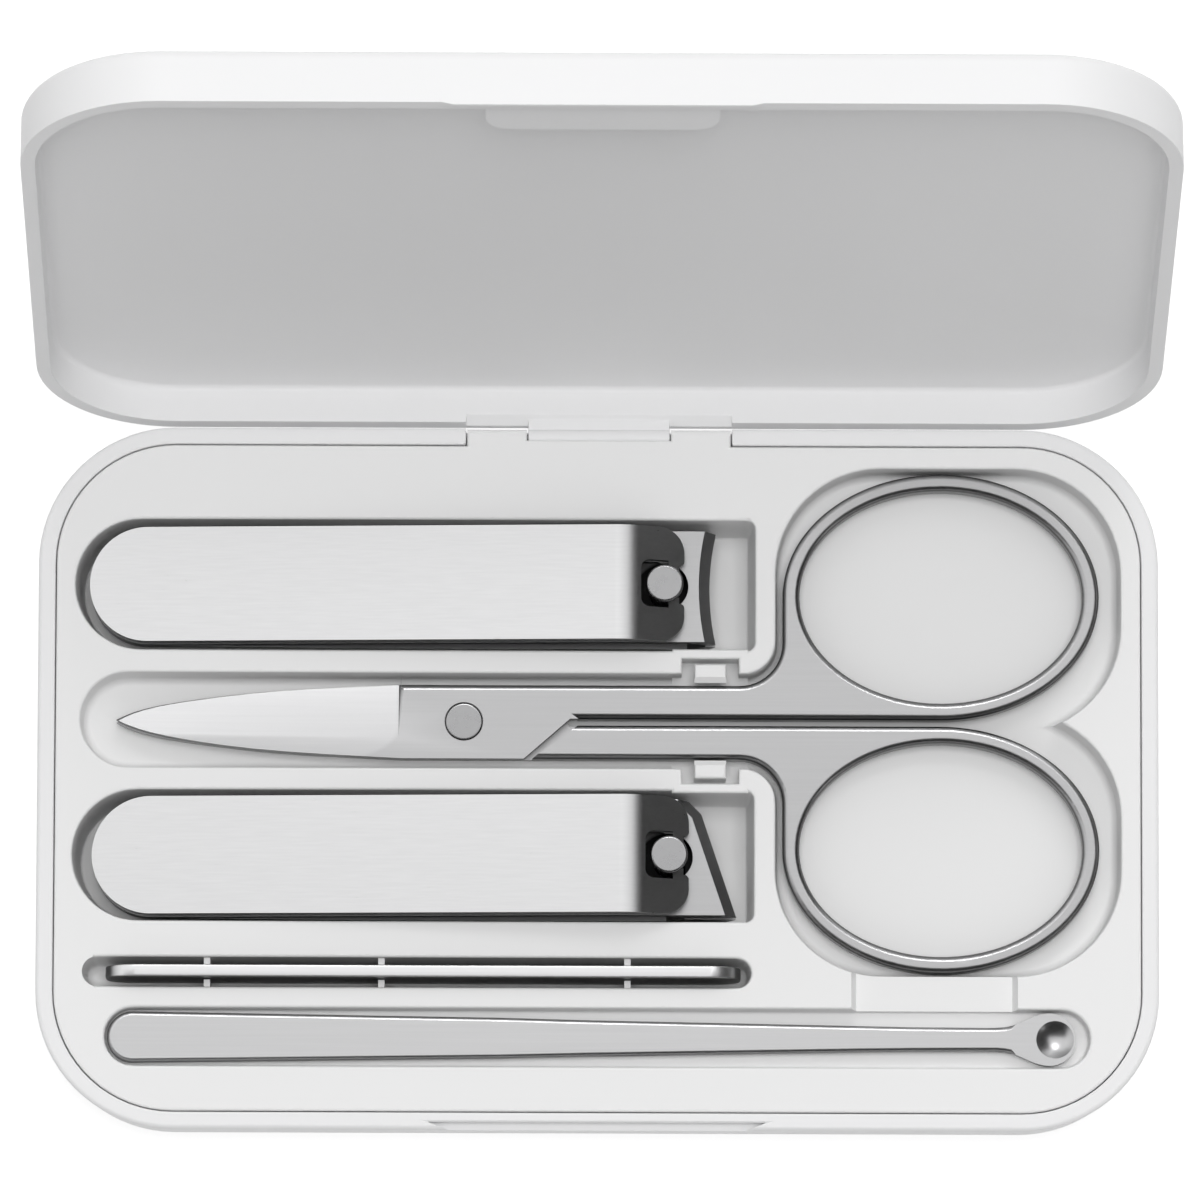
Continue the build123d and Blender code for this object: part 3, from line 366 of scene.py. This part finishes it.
for shell, plastic, rim_round in (("base_shell", CASE_WHITE, BASE_ROUND),
                                  ("tray_insert", TRAY_WHITE, TRAY_ROUND)):
    moulding = merged_copy(shell)
    round_edges(moulding, rim_round, RIM_SEGMENTS, top_rim)
    finish(moulding, shell, plastic)
dress("lid_shell", CASE_WHITE, LID_ROUND)
for hidden in ("base_magnet", "lid_magnet", "hinge_pin"):
    dress(hidden, PIN_STEEL)

# %% [markdown]
# ## The clippers
#
# Each lever is stamped flat and then bent, which leaves a soft crease before its sloping nose, so
# that one edge gets a wide round.  The lower arm gets painted shade round the pin, deep in the
# window of the lever.  Both clippers are dressed by one loop, because only the place of the pin
# differs.

# %% Clippers
PIN_PLACES = {"clipper_a": (6.84, 20.07), "clipper_b": (7.35, -8.13)}
LEVER_BEND = 1.35
BEND_SEGMENTS = 8
BEND_SKEW = 10
BEND_NORMALS = 0.6
BEND_ANGLE = 0.2
ARM_ROUND = 0.08
LEVER_ROUND = 0.15
PIN_ROUND = 0.15


def crease(middle, run, first, last):
    """The bend across the lever, between its flat and its nose."""
    return (abs(run.y) > BEND_SKEW * abs(run.x) and first.z * last.z > BEND_NORMALS
            and first.angle(last) > BEND_ANGLE)


for clipper, pin_place in PIN_PLACES.items():
    # The lower arm's steel carries painted shade round the pin.
    pin_shade_steel = brushed_steel(
        clipper + "_pin_shade_steel", ARM_LEVEL, ARM_ROUGHNESS, side=ARM_SIDE,
        dimmer=lambda tree, place, spot=pin_place: painted_pin_shade(tree, place, *spot))
    dress(clipper + "_lower_arm", pin_shade_steel, ARM_ROUND)
    dress(clipper + "_upper_arm", ARM_STEEL, ARM_ROUND)
    lever = merged_copy(clipper + "_lever")
    round_edges(lever, LEVER_BEND, BEND_SEGMENTS, crease)
    finish(lever, clipper + "_lever", LEVER_STEEL, LEVER_ROUND, 3)
    dress(clipper + "_pin", PIN_STEEL, PIN_ROUND, 3)
    dress(clipper + "_rear_rivet", PIN_STEEL)

# %% [markdown]
# ## The scissors, the file and the ear pick
#
# The scissors are ground, so their edges stay crisp, and only the step where the wheel left the
# full thickness of the upper blade is broken.  The file is a plain strip.  The ear pick is
# tumbled until its long edges are round, but the rim of its cup stays fine.

# %% Scissors, file and ear pick
BLADE_ROOT = -20.4
STEP_REACH = 0.05
STEP_NORMAL = 0.98
STEP_ROUND = 0.25
SCISSORS_ROUND = 0.05
RIVET_ROUND = 0.35
FILE_ROUND = 0.2
PICK_ROUND = 0.45
PICK_SEGMENTS = 4
CUP_START = 43.5


def ground_step(middle, run, first, last):
    """The edge where the ground part of the blade drops away from the full thickness."""
    return (abs(middle.x - BLADE_ROOT) < STEP_REACH and abs(run.y) > abs(run.x)
            and max(first.z, last.z) > STEP_NORMAL)


def pick_edge(middle, run, first, last):
    """The long edges of the ear pick's handle, short of its cup."""
    return middle.x < CUP_START and level_to_wall(first, last)


upper_half = merged_copy("scissors_upper_half")
round_edges(upper_half, STEP_ROUND, 1, ground_step)
finish(upper_half, "scissors_upper_half", SCISSORS_STEEL, SCISSORS_ROUND)
dress("scissors_lower_half", SCISSORS_STEEL, SCISSORS_ROUND)
dress("scissors_rivet", PIN_STEEL, RIVET_ROUND, 3)
dress("nail_file", FILE_STEEL, FILE_ROUND, 3)
pick = merged_copy("ear_pick")
round_edges(pick, PICK_ROUND, PICK_SEGMENTS, pick_edge)
finish(pick, "ear_pick", PICK_STEEL)

# %% [markdown]
# ## The floor and the surround
#
# A pale floor and an even white surround light the case from all sides, as a light tent does.
# Both look white to the camera and in reflections, but throw less light than that on the case:
# more light would wash out the white plastic.  The floor still takes the shadow of the case.

# %% Floor and surround
FLOOR_SIZE = 6.0
FLOOR_LEVEL = 0.55
FLOOR_ROUGHNESS = 0.8
FLOOR_LIFT = 0.7
HORIZON = 0.52
ZENITH = 0.32
WHITE = (1, 1, 1, 1)


def seen_by(tree, *rays):
    """1 for these rays of the Light Path node and 0 for all others."""
    path = add_node(tree, "LightPath", {})
    seen = path.outputs[rays[0]]
    for ray in rays[1:]:
        either = add_node(tree, "Math", {0: seen, 1: path.outputs[ray]}, operation="MAXIMUM")
        seen = either.outputs["Value"]
    return seen


bpy.ops.mesh.primitive_plane_add(size=FLOOR_SIZE, location=(0, 0, 0))
floor = bpy.context.active_object
floor.name = "studio_floor"
floor_material, tree, shader = new_material("floor_white")
shader.inputs["Base Color"].default_value = (FLOOR_LEVEL, FLOOR_LEVEL, FLOOR_LEVEL, 1)
shader.inputs["Roughness"].default_value = FLOOR_ROUGHNESS
shader.inputs["Emission Color"].default_value = WHITE
lift = add_node(tree, "Math", {
    0: seen_by(tree, "Is Camera Ray", "Is Glossy Ray"), 1: FLOOR_LIFT}, operation="MULTIPLY")
tree.links.new(lift.outputs["Value"], shader.inputs["Emission Strength"])
floor.data.materials.append(floor_material)

world = bpy.data.worlds.new("surround")
bpy.context.scene.world = world
world.use_nodes = True
tree = world.node_tree
background = tree.nodes["Background"]
background.inputs["Color"].default_value = WHITE
heading = add_node(tree, "TexCoord", {})
split = add_node(tree, "SeparateXYZ", {"Vector": heading.outputs["Generated"]})
sky = add_node(tree, "MapRange", {
    "Value": split.outputs["Z"], "To Min": HORIZON, "To Max": ZENITH})
level = add_node(tree, "MapRange", {
    "Value": seen_by(tree, "Is Camera Ray", "Is Glossy Ray", "Is Transmission Ray"),
    "To Min": sky.outputs["Result"],
    "To Max": 1.0})
tree.links.new(level.outputs["Result"], background.inputs["Strength"])
print("floor", FLOOR_SIZE, "m, surround from", HORIZON, "at the horizon to", ZENITH, "above")

# %% [markdown]
# ## The lamps
#
# A large soft light overhead and a lower one behind give the white plastic its gentle fall from
# the front rim to the hinge.  Mirrored in the steel they would only be glare, so the metal doesn't
# see them.  A small third light is seen by the metal alone and draws its edges.

# %% Lamps
def softbox(name, place, size, power, aim=(0, 0, 0), in_gloss=False):
    """A square soft light at place, turned towards aim, seen by matt or by glossy light only."""
    light = bpy.data.lights.new(name, "AREA")
    light.shape = "SQUARE"
    light.size = size
    light.energy = power
    lamp = bpy.data.objects.new(name, light)
    bpy.context.scene.collection.objects.link(lamp)
    lamp.location = place
    lamp.rotation_euler = (Vector(aim) - Vector(place)).to_track_quat("-Z", "Y").to_euler()
    lamp.visible_glossy = in_gloss
    lamp.visible_diffuse = not in_gloss
    print(name, "at", place, "m,", power, "W")


softbox("key_light", (0.15, 0.10, 3.30), 1.5, 51.0, aim=(0.15, 0.10, 0))
softbox("back_light", (0.36, 2.55, 2.40), 1.8, 28.0)
softbox("edge_light", (0.15, 1.68, 3.00), 0.75, 16.0, in_gloss=True)

# %% [markdown]
# ## The dark cards
#
# Two dark cards stand out of view, to the right and in front.  Steel is only as lively as what it
# mirrors: without the cards the slopes of the levers would look as flat as paint.  They are seen
# in reflections alone and take no light from the plastic.

# %% Dark cards
CARD_GREY = (0.02, 0.02, 0.02, 1)


def dark_card(name, middle, width, height):
    """A matt card that stands at middle and faces the case."""
    bpy.ops.mesh.primitive_plane_add(size=1.0, location=middle)
    card = bpy.context.active_object
    card.name = name
    card.scale = (width, height, 1)
    card.rotation_euler = (-Vector(middle)).to_track_quat("Z", "Y").to_euler()
    cloth, tree, shader = new_material(name + "_cloth")
    shader.inputs["Base Color"].default_value = CARD_GREY
    shader.inputs["Roughness"].default_value = 1.0
    card.data.materials.append(cloth)
    card.visible_camera = False
    card.visible_diffuse = False
    card.visible_shadow = False
    print(name, width, "by", height, "m")


dark_card("card_right", (0.70, 0.08, 0.42), 1.2, 0.9)
dark_card("card_front", (0.0, -0.62, 0.62), 1.8, 1.2)

# %% [markdown]
# ## The camera
#
# The camera stands nearly overhead, a little in front, with a long lens, so that the tray is seen
# square on and the lid leans away.  Its angles are set about the middle of what it frames.

# %% Camera
AIM = Vector((0.152, 18.54, 12.0)) * MM
DISTANCE = 1275 * MM
TILT = radians(7.35)
YAW = radians(-0.256)
ROLL = radians(0.203)
FOCAL_PIXELS = 12309.0
FRAME_PIXELS = 1200.0
SENSOR = 36.0
CLIP_START = 0.05
CLIP_END = 20

camera_data = bpy.data.cameras.new("camera")
camera_data.sensor_width = SENSOR
camera_data.lens = FOCAL_PIXELS / FRAME_PIXELS * SENSOR
camera_data.clip_start = CLIP_START
camera_data.clip_end = CLIP_END
camera = bpy.data.objects.new("camera", camera_data)
bpy.context.scene.collection.objects.link(camera)
back = Vector((sin(YAW), -sin(TILT), cos(TILT))).normalized()
right = (Vector((1, 0, 0)) - back * back.x).normalized()
turn = Matrix((right, back.cross(right), back)).transposed().to_4x4()
place = Matrix.Translation(AIM + back * DISTANCE)
camera.matrix_world = place @ turn @ Matrix.Rotation(ROLL, 4, "Z")
bpy.context.scene.camera = camera
bpy.context.scene.view_settings.view_transform = "Standard"
print("camera at", tuple(place.translation), "m, lens", camera_data.lens, "mm")
